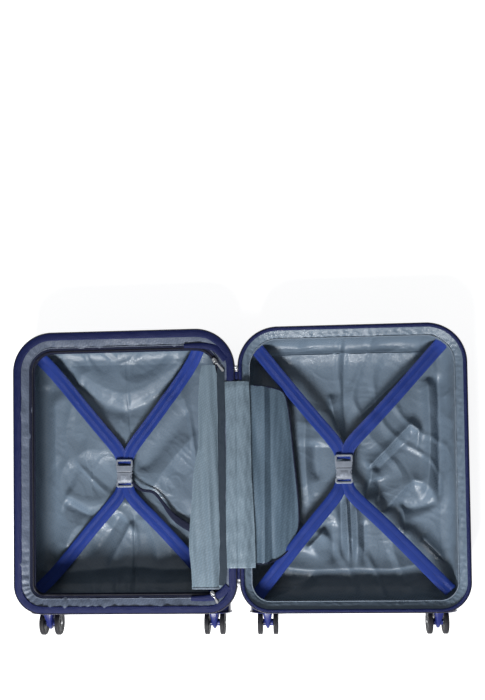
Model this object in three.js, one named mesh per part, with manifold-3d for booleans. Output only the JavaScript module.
// A cabin-size hard shell suitcase on four twin-wheel casters, lying open and flat on its two backs.
// Millimetres, +Z up. The shells hinge about the line x = 0 along Y, at the height of their rims.
// +X is the back half, with the trolley handle. -X is the front half. The casters are at the -Y end.
import * as THREE from 'three';
import { mergeVertices } from 'three/addons/utils/BufferGeometryUtils.js';
import Module from 'manifold-3d';

const wasm = await Module();
wasm.setup();

// ---- Driving dimensions ------------------------------------------------------------------------
const CASE_LENGTH = 550;       // along Y, wheels and carry handle included
const WHEEL_DROP = 45;         // from the shell's end to the bottom of the wheels
const HANDLE_PROUD = 4;        // carry handle above the shell's top end
const HINGE_GAP = 3;           // from the hinge line to each shell
const SHELL_WIDTH = 397;
const SHELL_DEPTH = 98;
const WALL = 3;
const TOP_RADIUS = 70;         // corners at the handle end
const FOOT_RADIUS = 52;        // corners at the wheel end
const BACK_FILLET = 28;        // from the side walls into the flat back
const DRAFT = 2;
const FIT = 0.3;               // gap between pieces that touch
const HINGE_Z = SHELL_DEPTH + 1.5;

const FOOT_Y = -CASE_LENGTH / 2 + WHEEL_DROP;
const HEAD_Y = CASE_LENGTH / 2 - HANDLE_PROUD;
const MID_X = HINGE_GAP + SHELL_WIDTH / 2;
const MID_Y = (FOOT_Y + HEAD_Y) / 2;

const TAPE_Z = [SHELL_DEPTH + FIT, HINGE_Z - FIT];
const BACK_TAPE_WIDTH = 7;
const FRONT_TAPE_WIDTH = 14;
const DIVIDER_ZIP_INSET = [31.3, 37];
const DIVIDER_ZIP_Z = [88.5, 90.5];

const STRAP_WIDTH = 24;
const STRAP_THICKNESS = 1.6;
const BUCKLE = { width: 32, socketLength: 28, plugLength: 24, thickness: 9, prong: 18 };

const TUBE_SPACING = 156;
const TUBE_Z = 18;
const TUBE_WALL = 1.2;
const TUBE_SECTIONS = [[22, 14], [19, 11], [16, 8]];

const CASTER_X = [45, 50];     // from a shell's sides to the swivel axes, hinge side first
const CASTER_Z = 50;
const TRAIL = 14;
const WHEEL_RADIUS = 22;
const WHEEL_WIDTH = 8.8;
const WHEEL_SPACING = 28;
const AXLE_RADIUS = 2.5;
const AXLE_Y = -CASE_LENGTH / 2 + WHEEL_RADIUS;

// ---- Materials ---------------------------------------------------------------------------------
const finish = (color, roughness, metalness = 0) =>
  new THREE.MeshStandardMaterial({ color, roughness, metalness });
const SHELL_FINISH = finish(0x11143c, 0.35);
const LINING_FINISH = finish(0x65717b, 0.7);
const COVER_FINISH = finish(0x7d8890, 0.75);
const TAPE_FINISH = finish(0x171c4d, 0.8);
const WEBBING_FINISH = finish(0x28379a, 0.75);
const BUCKLE_FINISH = finish(0x969ea0, 0.5);
const BLACK_FINISH = finish(0x15161a, 0.6);
const FORK_FINISH = finish(0x151a4a, 0.4);
const RUBBER_FINISH = finish(0x17181b, 0.7);
const STEEL_FINISH = finish(0xb9bcc0, 0.35, 1);
const TUBE_FINISH = finish(0xa9adb3, 0.3, 1);

// ---- Solids ------------------------------------------------------------------------------------
function closed(geometry) {
  const bare = geometry.index ? geometry : geometry.clone();
  bare.deleteAttribute('normal');
  bare.deleteAttribute('uv');
  return mergeVertices(bare, 1e-4);
}

function toSolid(geometry) {
  const bare = closed(geometry);
  const vertProperties = new Float32Array(bare.getAttribute('position').array);
  const triVerts = new Uint32Array(bare.index.array);
  return new wasm.Manifold(new wasm.Mesh({ numProp: 3, vertProperties, triVerts }));
}

function toGeometry(solid) {
  const mesh = solid.getMesh();
  const geometry = new THREE.BufferGeometry();
  geometry.setAttribute('position', new THREE.BufferAttribute(new Float32Array(mesh.vertProperties), 3));
  geometry.setIndex(new THREE.BufferAttribute(new Uint32Array(mesh.triVerts), 1));
  return geometry;
}

const joined = (...parts) => toGeometry(parts.map(toSolid).reduce((a, b) => a.add(b)));
const common = (a, b) => toGeometry(toSolid(a).intersect(toSolid(b)));
const cutBy = (body, ...tools) =>
  toGeometry(tools.map(toSolid).reduce((left, tool) => left.subtract(tool), toSolid(body)));

function box(x0, x1, y0, y1, z0, z1) {
  const geometry = new THREE.BoxGeometry(x1 - x0, y1 - y0, z1 - z0);
  return geometry.translate((x0 + x1) / 2, (y0 + y1) / 2, (z0 + z1) / 2);
}

// A prism on an outline of [a, b] points; 'place' turns its own X, Y and depth into the part's axes.
function prism(points, depth, place) {
  const shape = new THREE.Shape(points.map(([a, b]) => new THREE.Vector2(a, b)));
  const geometry = new THREE.ExtrudeGeometry(shape, { depth, bevelEnabled: false });
  return geometry.applyMatrix4(place);
}

const axes = (x, y, z, origin) =>
  new THREE.Matrix4().makeBasis(new THREE.Vector3(...x), new THREE.Vector3(...y), new THREE.Vector3(...z))
    .setPosition(...origin);

function cylinderY(radius, y0, y1, x = 0, z = 0, segments = 20) {
  return new THREE.CylinderGeometry(radius, radius, y1 - y0, segments).translate(x, (y0 + y1) / 2, z);
}

function cylinderX(radius, x0, x1, y, z, segments = 16) {
  const geometry = new THREE.CylinderGeometry(radius, radius, x1 - x0, segments).rotateZ(-Math.PI / 2);
  return geometry.translate((x0 + x1) / 2, y, z);
}

// A closed ring of revolution about Y, from its [radius, height] section.
function turned(section, segments = 20) {
  const points = [...section, section[0]].map(([r, y]) => new THREE.Vector2(r, y));
  return outward(new THREE.LatheGeometry(points, segments));
}

function signedVolume(geometry) {
  const p = geometry.getAttribute('position');
  const i = geometry.index.array;
  const [a, b, c] = [new THREE.Vector3(), new THREE.Vector3(), new THREE.Vector3()];
  let volume = 0;
  for (let t = 0; t < i.length; t += 3) {
    a.fromBufferAttribute(p, i[t]);
    b.fromBufferAttribute(p, i[t + 1]);
    c.fromBufferAttribute(p, i[t + 2]);
    volume += a.dot(b.cross(c));
  }
  return volume;
}

function outward(geometry) {
  if (signedVolume(geometry) > 0) return geometry;
  const i = geometry.index.array;
  for (let t = 0; t < i.length; t += 3) [i[t], i[t + 1]] = [i[t + 1], i[t]];
  return geometry;
}

// ---- The shells' outline -------------------------------------------------------------------------
// One ring of points round a half, 'inset' inside the rim's outline, at height z. side is +1 or -1.
function outline(side, inset, z) {
  const [x0, x1] = [HINGE_GAP + inset, HINGE_GAP + SHELL_WIDTH - inset];
  const [y0, y1] = [FOOT_Y + inset, HEAD_Y - inset];
  const [foot, top] = [FOOT_RADIUS - inset, TOP_RADIUS - inset];
  const corners = [
    [x1 - foot, y0 + foot, foot, -90], [x1 - top, y1 - top, top, 0],
    [x0 + top, y1 - top, top, 90], [x0 + foot, y0 + foot, foot, 180],
  ];
  const steps = 6;
  const ring = [];
  for (const [cx, cy, radius, start] of corners) {
    for (let s = 0; s <= steps; s++) {
      const angle = THREE.MathUtils.degToRad(start + (90 * s) / steps);
      ring.push(side * (cx + radius * Math.cos(angle)), cy + radius * Math.sin(angle), z);
    }
  }
  return ring;
}

// The surface through a list of [inset, z] stations. Open lists are closed by flat caps.
function lofted(side, stations, loop = false) {
  const rings = stations.map(([inset, z]) => outline(side, inset, z));
  const count = rings[0].length / 3;
  const index = [];
  const bands = loop ? rings.length : rings.length - 1;
  for (let r = 0; r < bands; r++) {
    const [low, high] = [r * count, ((r + 1) % rings.length) * count];
    for (let k = 0; k < count; k++) {
      const next = (k + 1) % count;
      index.push(low + k, low + next, high + next, low + k, high + next, high + k);
    }
  }
  if (!loop) {
    const last = (rings.length - 1) * count;
    for (let k = 1; k < count - 1; k++) index.push(0, k + 1, k, last, last + k, last + k + 1);
  }
  const geometry = new THREE.BufferGeometry();
  geometry.setAttribute('position', new THREE.Float32BufferAttribute(rings.flat(), 3));
  geometry.setIndex(index);
  return outward(geometry);
}

// Stations of the shell's skin, 'inward' inside its outer face, from the flat back up to the rim.
function skinStations(inward) {
  const steps = 4;
  const radius = BACK_FILLET - inward;
  const stations = [];
  for (let s = 0; s <= steps; s++) {
    const angle = (Math.PI / 2) * (1 - s / steps);
    const inset = inward + DRAFT + radius * (1 - Math.cos(angle));
    stations.push([inset, inward + radius * (1 - Math.sin(angle))]);
  }
  return [...stations, [inward, SHELL_DEPTH]];
}

const outerHull = (side) => lofted(side, skinStations(0));
const innerHull = (side) => lofted(side, skinStations(WALL + FIT));
const ringSolid = (side, [in0, in1], [z0, z1]) =>
  lofted(side, [[in0, z0], [in1, z0], [in1, z1], [in0, z1]], true);

// ---- Group and mesh helper -----------------------------------------------------------------------
const suitcase = new THREE.Group();
function add(name, geometry, material, position = [0, 0, 0], parent = suitcase) {
  const mesh = new THREE.Mesh(geometry, material);
  mesh.name = name;
  mesh.position.set(...position);
  parent.add(mesh);
  return mesh;
}

// ---- Casters -------------------------------------------------------------------------------------
const CUP = { radius: 30, wall: 3, roof: 4, depth: 16, lip: 33, lipDepth: 2 };
const casterCentres = [HINGE_GAP + CASTER_X[0], HINGE_GAP + SHELL_WIDTH - CASTER_X[1]];

function casterCup() {
  const inside = CUP.radius - CUP.wall;
  const roof = FOOT_Y + CUP.depth;
  const lip = FOOT_Y - FIT - CUP.lipDepth;
  return turned([
    [AXLE_RADIUS * 2 + FIT, roof - CUP.roof], [inside, roof - CUP.roof], [inside, lip], [CUP.lip, lip],
    [CUP.lip, FOOT_Y - FIT], [CUP.radius, FOOT_Y - FIT], [CUP.radius, roof],
    [AXLE_RADIUS * 2 + FIT, roof],
  ]);
}

function casterFork() {
  const roof = FOOT_Y + CUP.depth - CUP.roof;
  const shoulder = FOOT_Y - FIT;
  const half = WHEEL_SPACING / 2 - WHEEL_WIDTH / 2 - 0.4;
  const crown = cylinderY(24, shoulder, roof - 1);
  const stem = cylinderY(AXLE_RADIUS * 2, roof - 2, roof + CUP.roof + 0.8);
  const tip = AXLE_Y - 10;
  const front = prism(
    [[-half, shoulder + 2], [-half, shoulder - 4], [-2, tip], [2, tip], [half, shoulder - 4], [half, shoulder + 2]],
    60, axes([1, 0, 0], [0, 1, 0], [0, 0, 1], [0, 0, -40]));
  const flank = prism(
    [[16, shoulder + 2], [16, shoulder - 4], [-3, tip], [-20, tip], [-24, AXLE_Y + 3], [-20, shoulder + 2]],
    60, axes([0, 0, 1], [0, 1, 0], [-1, 0, 0], [30, 0, 0]));
  const body = joined(crown, stem, common(front, flank));
  return cutBy(body, cylinderX(AXLE_RADIUS + FIT, -20, 20, AXLE_Y, -TRAIL));
}

function casterWheel() {
  const [half, rim] = [WHEEL_WIDTH / 2, WHEEL_RADIUS - 2.5];
  const bore = AXLE_RADIUS + FIT;
  const section = [
    [bore, -half], [rim, -half], [WHEEL_RADIUS, -half / 2], [WHEEL_RADIUS, half / 2], [rim, half], [bore, half],
  ];
  return turned(section).rotateZ(Math.PI / 2);
}

function addCaster(label, side, centre) {
  const place = [side * centre, 0, CASTER_Z];
  const reach = WHEEL_SPACING / 2 + WHEEL_WIDTH / 2;
  add(`${label}_caster_housing`, casterCup(), SHELL_FINISH, place);
  add(`${label}_caster_fork`, casterFork(), FORK_FINISH, place);
  add(`${label}_caster_axle`, cylinderX(AXLE_RADIUS, -reach, reach, AXLE_Y, -TRAIL), STEEL_FINISH, place);
  const wheelAt = (x) => [place[0] + x, AXLE_Y, CASTER_Z - TRAIL];
  add(`${label}_caster_wheel_a`, casterWheel(), RUBBER_FINISH, wheelAt(-WHEEL_SPACING / 2));
  add(`${label}_caster_wheel_b`, casterWheel(), RUBBER_FINISH, wheelAt(WHEEL_SPACING / 2));
}

// ---- Cross straps and their buckles --------------------------------------------------------------
// A band of webbing in the plane from a to b, given as [x, y], with its underside at z.
function webbing([ax, ay], [bx, by], z) {
  const along = new THREE.Vector2(bx - ax, by - ay);
  const length = along.length();
  const angle = along.angle();
  const band = box(0, length, -STRAP_WIDTH / 2, STRAP_WIDTH / 2, 0, STRAP_THICKNESS);
  return band.rotateZ(angle).translate(ax, ay, z);
}

// Two arms from the corners to the buckle, trimmed square where they turn through its slot.
function strapPair(centre, corners, endY, z) {
  const inwards = Math.sign(corners[0][1] - endY);
  const arms = corners.map((corner) => {
    const lean = Math.sign(corner[0] - centre) * 5;
    return webbing(corner, [centre + lean, endY - inwards * 6], z);
  });
  const limit = [endY, endY - inwards * 60].sort((a, b) => a - b);
  return cutBy(joined(...arms), box(centre - 80, centre + 80, ...limit, z - 5, z + 5));
}

function buckleSocket(centre, y0, z) {
  const half = BUCKLE.width / 2;
  const y1 = y0 + BUCKLE.socketLength;
  const body = box(centre - half, centre + half, y0, y1, z, z + BUCKLE.thickness);
  const mouth = box(centre - half + 3, centre + half - 3, y0 + 7, y1 + 1, z + 2, z + BUCKLE.thickness - 2);
  const slot = box(centre - half + 4, centre + half - 4, y0 + 2, y0 + 4.5, z - 1, z + BUCKLE.thickness + 1);
  const windows = box(centre - half - 1, centre + half + 1, y0 + 11, y0 + 18, z + 2, z + BUCKLE.thickness - 2);
  return cutBy(body, mouth, slot, windows);
}

function bucklePlug(centre, y0, z) {
  const half = BUCKLE.width / 2;
  const y1 = y0 + BUCKLE.plugLength;
  const body = box(centre - half, centre + half, y0, y1, z + 1, z + BUCKLE.thickness - 1);
  const slots = [y1 - 6, y1 - 13].map((y) =>
    box(centre - half + 4, centre + half - 4, y, y + 3.5, z - 1, z + BUCKLE.thickness + 1));
  const prongs = [-10.5, 0, 10.5].map((x) =>
    box(centre + x - 1.8, centre + x + 1.8, y0 - BUCKLE.prong, y0 + 1, z + 2.6, z + BUCKLE.thickness - 2.6));
  return cutBy(joined(body, ...prongs), ...slots);
}

// middle is the buckle's distance from the hinge line, and corners the four anchors as such
// distances and heights along Y.
function addStraps(label, side, middle, corners, z) {
  const centre = side * middle;
  const lowest = MID_Y - (BUCKLE.socketLength + BUCKLE.plugLength) / 2;
  const seam = lowest + BUCKLE.socketLength;
  const highest = seam + FIT + BUCKLE.plugLength;
  const [upper, lower] = corners.map((pair) => pair.map(([x, y]) => [side * x, y]));
  const webbingZ = z + (BUCKLE.thickness - STRAP_THICKNESS) / 2;
  add(`${label}_strap_upper`, strapPair(centre, upper, highest + FIT, webbingZ), WEBBING_FINISH);
  add(`${label}_strap_lower`, strapPair(centre, lower, lowest - FIT, webbingZ), WEBBING_FINISH);
  add(`${label}_buckle_socket`, buckleSocket(centre, lowest, z), BUCKLE_FINISH);
  add(`${label}_buckle_plug`, bucklePlug(centre, seam + FIT, z), BUCKLE_FINISH);
}

// ---- Trolley handle ------------------------------------------------------------------------------
const TRAY = { half: 96, z: [7, 29], wall: 2.2, floor: 2.4, depth: 24 };
const TRAY_Y = HEAD_Y - TRAY.depth;
const tubeX = [MID_X - TUBE_SPACING / 2, MID_X + TUBE_SPACING / 2];

function tubeBox(x, [width, height], y0, y1) {
  return box(x - width / 2, x + width / 2, y0, y1, TUBE_Z - height / 2, TUBE_Z + height / 2);
}

function tube(x, [width, height], y0, y1) {
  const bore = [width - 2 * TUBE_WALL, height - 2 * TUBE_WALL];
  return cutBy(tubeBox(x, [width, height], y0, y1), tubeBox(x, bore, y0 - 1, y1 + 1));
}

const widened = ([width, height], by) => [width + 2 * by, height + 2 * by];

function trolleyTray() {
  const [z0, z1] = TRAY.z;
  const body = box(MID_X - TRAY.half, MID_X + TRAY.half, TRAY_Y, HEAD_Y + 1, z0, z1);
  const hollow = box(MID_X - TRAY.half + TRAY.wall, MID_X + TRAY.half - TRAY.wall,
    TRAY_Y + TRAY.floor, HEAD_Y + 2, z0 + TRAY.wall, z1 - TRAY.wall);
  const holes = tubeX.map((x) => tubeBox(x, widened(TUBE_SECTIONS[1], FIT), TRAY_Y - 1, TRAY_Y + 5));
  return common(cutBy(body, hollow, ...holes), outerHull(1));
}

const GRIP = { half: 88, z: [10, 26], y: [TRAY_Y + TRAY.floor + FIT + 0.2, HEAD_Y] };
const BUTTON = { half: 16, z: [14, 22], depth: 11, travel: 3.5 };

function trolleyGrip() {
  const body = box(MID_X - GRIP.half, MID_X + GRIP.half, ...GRIP.y, ...GRIP.z);
  const sockets = tubeX.map((x) => tubeBox(x, widened(TUBE_SECTIONS[2], FIT), GRIP.y[0] - 1, GRIP.y[0] + 9));
  const well = box(MID_X - BUTTON.half - FIT, MID_X + BUTTON.half + FIT, HEAD_Y - BUTTON.depth - BUTTON.travel,
    HEAD_Y + 1,
    BUTTON.z[0] - FIT, BUTTON.z[1] + FIT);
  return cutBy(common(body, outerHull(1)), well, ...sockets);
}

function addTrolley() {
  const baseTop = FOOT_Y + 24;
  const tops = [TRAY_Y - FIT, TRAY_Y + TRAY.floor - 0.2, GRIP.y[0] + 8];
  const starts = [baseTop + FIT, baseTop + 15, baseTop + 30];
  const labels = ['outer', 'middle', 'inner'];
  const block = box(MID_X - TRAY.half, MID_X + TRAY.half, FOOT_Y, baseTop, 0, 27);
  add('trolley_base', common(block, innerHull(1)), BLACK_FINISH);
  add('trolley_tray', trolleyTray(), BLACK_FINISH);
  labels.forEach((label, stage) => tubeX.forEach((x, k) => {
    const geometry = tube(x, TUBE_SECTIONS[stage], starts[stage], tops[stage]);
    add(`trolley_${label}_tube_${'ab'[k]}`, geometry, TUBE_FINISH);
  }));
  add('trolley_grip', trolleyGrip(), BLACK_FINISH);
  add('trolley_button', common(box(MID_X - BUTTON.half, MID_X + BUTTON.half, HEAD_Y - BUTTON.depth, HEAD_Y,
    ...BUTTON.z), outerHull(1)), BUCKLE_FINISH);
}

// ---- Carry handle --------------------------------------------------------------------------------
const POCKET = { half: 85, z: [46, 78], depth: 15.5, wall: 2, lip: 9 };

function handlePocket() {
  const [z0, z1] = POCKET.z;
  const floor = HEAD_Y - POCKET.depth;
  const body = box(MID_X - POCKET.half, MID_X + POCKET.half, floor, HEAD_Y - 0.2, z0, z1);
  const inside = POCKET.half - POCKET.wall;
  const well = box(MID_X - inside, MID_X + inside, floor + POCKET.wall, HEAD_Y - 2.7, z0 + 3, z1 - 3);
  const mouth = box(MID_X - inside + POCKET.lip, MID_X + inside - POCKET.lip, floor + 4, HEAD_Y + 1, z0 + 3, z1 - 3);
  return cutBy(body, well, mouth);
}

function carryHandle() {
  const [z0, z1] = [POCKET.z[0] + 8, POCKET.z[1] - 8];
  const floor = HEAD_Y - POCKET.depth + POCKET.wall;
  const outer = POCKET.half - POCKET.wall - POCKET.lip - 1;
  const bar = box(MID_X - outer, MID_X + outer, HEAD_Y - 4, HEAD_Y + HANDLE_PROUD, z0, z1);
  const legs = [-1, 1].map((s) => {
    const xs = [MID_X + s * (outer - 9), MID_X + s * outer].sort((a, b) => a - b);
    return box(...xs, floor + 0.5, HEAD_Y - 3, z0 + 2, z1 - 2);
  });
  const feet = [-1, 1].map((s) => {
    const xs = [MID_X + s * (outer - 4), MID_X + s * (outer + 8)].sort((a, b) => a - b);
    return box(...xs, floor + 0.5, floor + 3.5, z0 + 2, z1 - 2);
  });
  return joined(bar, ...legs, ...feet);
}

// ---- Combination lock ----------------------------------------------------------------------------
const LOCK = { face: HINGE_GAP + SHELL_WIDTH - 0.6, depth: 14, half: 36, z: [58, 84], dialRadius: 6.6 };
const dialY = [-7, 0, 7].map((y) => MID_Y - 10 + y);
const DIAL_CENTRE = [HINGE_GAP + SHELL_WIDTH - 0.1 - LOCK.dialRadius, 71];

function lockBody() {
  const x0 = LOCK.face - LOCK.depth;
  const body = box(x0, LOCK.face, MID_Y - LOCK.half, MID_Y + LOCK.half, ...LOCK.z);
  const windows = dialY.map((y) =>
    box(x0 + 0.5, LOCK.face + 2, y - 2.4, y + 2.4, DIAL_CENTRE[1] - 7.4, DIAL_CENTRE[1] + 7.4));
  const buttonWell = box(LOCK.face - 7, LOCK.face + 2, MID_Y + 8.7, MID_Y + 19.3, 65.7, 76.3);
  const pullSlots = [24, 30].map((y) => box(LOCK.face - 5, LOCK.face + 2, MID_Y + y, MID_Y + y + 2.5, 66, 76));
  return cutBy(body, ...windows, buttonWell, ...pullSlots);
}

function addLock() {
  add('lock_body', lockBody(), BLACK_FINISH);
  dialY.forEach((y, k) => {
    const dial = new THREE.CylinderGeometry(LOCK.dialRadius, LOCK.dialRadius, 4, 20);
    add(`lock_dial_${k + 1}`, dial, BUCKLE_FINISH, [DIAL_CENTRE[0], y, DIAL_CENTRE[1]]);
  });
  add('lock_button', box(LOCK.face - 3, LOCK.face + 0.5, MID_Y + 9, MID_Y + 19, 66, 76), STEEL_FINISH);
}

// ---- Zip sliders ---------------------------------------------------------------------------------
// The main zip ends where the corners begin, and its sliders park there between the two shells.
function mainSlider() {
  return joined(box(-2.4, 2.4, -6, 6, 92, 98), box(-0.8, 0.8, -3.5, 3.5, 70, 93));
}

// A slider on the divider's zip, at 'angle' round the corner's centre, with its pull tab leaning away.
function dividerSlider(centre, cornerRadius, angle, tabEnd) {
  const radius = cornerRadius - (DIVIDER_ZIP_INSET[0] + DIVIDER_ZIP_INSET[1]) / 2;
  const x = centre[0] + radius * Math.cos(angle);
  const y = centre[1] + radius * Math.sin(angle);
  const z0 = DIVIDER_ZIP_Z[1] + 4 * FIT;
  const body = box(-4, 4, -5, 5, z0, 98).rotateZ(angle).translate(x, y, 0);
  const reach = new THREE.Vector2(tabEnd[0] - x, tabEnd[1] - y);
  const tab = box(0, reach.length(), -2.6, 2.6, 96.6, 98).rotateZ(reach.angle()).translate(x, y, 0);
  return joined(body, tab);
}

// ---- Soft pieces over the hinge ------------------------------------------------------------------
function sidePocket() {
  const shape = new THREE.Shape();
  shape.moveTo(0, -145);
  shape.lineTo(14, -145);
  shape.bezierCurveTo(34, -140, 76, -90, 76, -60);
  shape.bezierCurveTo(76, 0, 66, 90, 60, 140);
  shape.bezierCurveTo(57, 160, 40, 172, 0, 174);
  const panel = new THREE.ExtrudeGeometry(shape, { depth: 2, bevelEnabled: false, curveSegments: 6 });
  return panel.rotateY(THREE.MathUtils.degToRad(24)).translate(28, 0, 90);
}

const dividerCurtain = () => prism(
  [[-84, 91.2], [-36, 91.2], [-24, 94.4], [-24, 96.3], [-84, 96.3]], 392,
  axes([1, 0, 0], [0, 0, 1], [0, -1, 0], [0, 206, 0]));

// ---- Assembly ------------------------------------------------------------------------------------
function cornerHoles(side) {
  return casterCentres.map((x) =>
    cylinderY(CUP.radius + FIT, FOOT_Y - 15, FOOT_Y + CUP.depth + FIT, side * x, CASTER_Z));
}

function shell(side) {
  const stations = [...skinStations(0), ...skinStations(WALL).reverse()];
  return cutBy(lofted(side, stations), ...cornerHoles(side));
}

function addBackHalf() {
  const [z0, z1] = TRAY.z;
  const openings = [
    box(MID_X - TRAY.half - FIT, MID_X + TRAY.half + FIT, TRAY_Y - FIT, HEAD_Y + 5, z0 - FIT, z1 + FIT),
    box(MID_X - POCKET.half - FIT, MID_X + POCKET.half + FIT, HEAD_Y - 12, HEAD_Y + 5,
      POCKET.z[0] - FIT, POCKET.z[1] + FIT),
    box(LOCK.face - 12, LOCK.face + 5, MID_Y - LOCK.half - FIT, MID_Y + LOCK.half + FIT,
      LOCK.z[0] - FIT, LOCK.z[1] + FIT),
  ];
  add('back_shell', cutBy(shell(1), ...openings), SHELL_FINISH);
  add('back_lining', lofted(1, [
    [40, 33], [30, 35], [22, 42], [18, 54], [18, 86], [3.8, 94.5], [3.8, 97.6],
    [5.3, 97.6], [5.3, 95.2], [19.5, 86.8], [19.5, 54.5], [23.2, 43.2], [31, 36.5], [40, 34.5],
  ]), LINING_FINISH);
  add('back_zip_tape', ringSolid(1, [0, BACK_TAPE_WIDTH], TAPE_Z), TAPE_FINISH);
  add('carry_handle_pocket', handlePocket(), BLACK_FINISH);
  add('carry_handle', carryHandle(), SHELL_FINISH);
  addTrolley();
  addLock();
  addStraps('back', 1, MID_X - 14, [[[40, 233], [352, 229]], [[46, -183], [350, -176]]], 58);
  add('side_pocket', sidePocket(), COVER_FINISH);
}

function addFrontHalf() {
  add('front_shell', shell(-1), SHELL_FINISH);
  add('front_lining', lofted(-1, [
    [46, 4.5], [32, 8], [22, 20], [18.5, 36], [18.5, 80], [3.8, 90], [3.8, 97.6],
    [5.3, 97.6], [31, 91], [31, 89.5], [20, 79], [20, 36.5], [23.3, 21], [33, 9.7], [46, 6],
  ]), LINING_FINISH);
  add('front_zip_tape', ringSolid(-1, [0, FRONT_TAPE_WIDTH], TAPE_Z), TAPE_FINISH);
  add('divider_zip', ringSolid(-1, DIVIDER_ZIP_INSET, DIVIDER_ZIP_Z), BLACK_FINISH);
  addStraps('front', -1, MID_X + 13.5, [[[90, 214], [346, 212]], [[62, -174], [347, -166]]], 20);
  add('divider_curtain', dividerCurtain(), COVER_FINISH);
  const topCorner = [-HINGE_GAP - TOP_RADIUS, HEAD_Y - TOP_RADIUS];
  const footCorner = [-HINGE_GAP - FOOT_RADIUS, FOOT_Y + FOOT_RADIUS];
  add('divider_slider_top', dividerSlider(topCorner, TOP_RADIUS, Math.PI / 6, [-20, 192]), STEEL_FINISH);
  add('divider_slider_foot', dividerSlider(footCorner, FOOT_RADIUS, -Math.PI / 3, [-36, -212]), STEEL_FINISH);
}

function addHinge() {
  const [low, high] = [FOOT_Y + FOOT_RADIUS, HEAD_Y - TOP_RADIUS];
  add('hinge_strip', box(-2.6, 2.6, low + 7, high - 7, 94.5, 97.9), TAPE_FINISH);
  add('hinge_cover', box(-18, 30, -151, 177, HINGE_Z, HINGE_Z + 1.5), COVER_FINISH);
  add('main_slider_top', mainSlider(), STEEL_FINISH, [0, high, 0]);
  add('main_slider_foot', mainSlider(), STEEL_FINISH, [0, low, 0]);
}

addBackHalf();
addFrontHalf();
addHinge();
[['back', 1], ['front', -1]].forEach(([half, side]) => casterCentres.forEach((centre, k) => {
  addCaster(`${half}_${['inner', 'outer'][k]}`, side, centre);
}));

export default suitcase;
